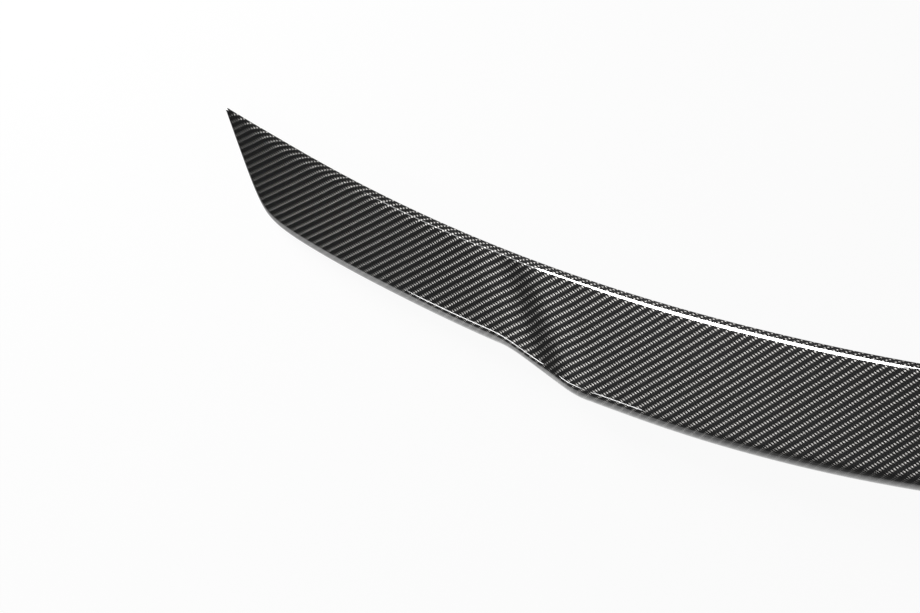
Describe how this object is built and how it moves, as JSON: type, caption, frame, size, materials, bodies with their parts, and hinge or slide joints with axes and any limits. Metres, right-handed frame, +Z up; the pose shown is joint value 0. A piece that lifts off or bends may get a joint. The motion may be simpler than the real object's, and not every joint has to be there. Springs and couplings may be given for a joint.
{
  "type": "car rear spoiler",
  "caption": "Boot-lid spoiler moulded as one thin carbon-fibre shell, with a centre panel set off by slanting ramps, a folded rear edge and pointed ends, bonded along its open underside",
  "frame": {"origin": "middle of the bounding box's underside", "axes": "+X to the car's right along the span, +Y towards the car's front (the leading edge), +Z up"},
  "size_m": [1.296, 0.1452, 0.0298],
  "materials": {
    "carbon_laminate": "twill-woven carbon-fibre laminate in epoxy under a clear gloss coat"
  },
  "bodies": {
    "root": {"spoiler_shell": "carbon_laminate"}
  },
  "joints": []
}
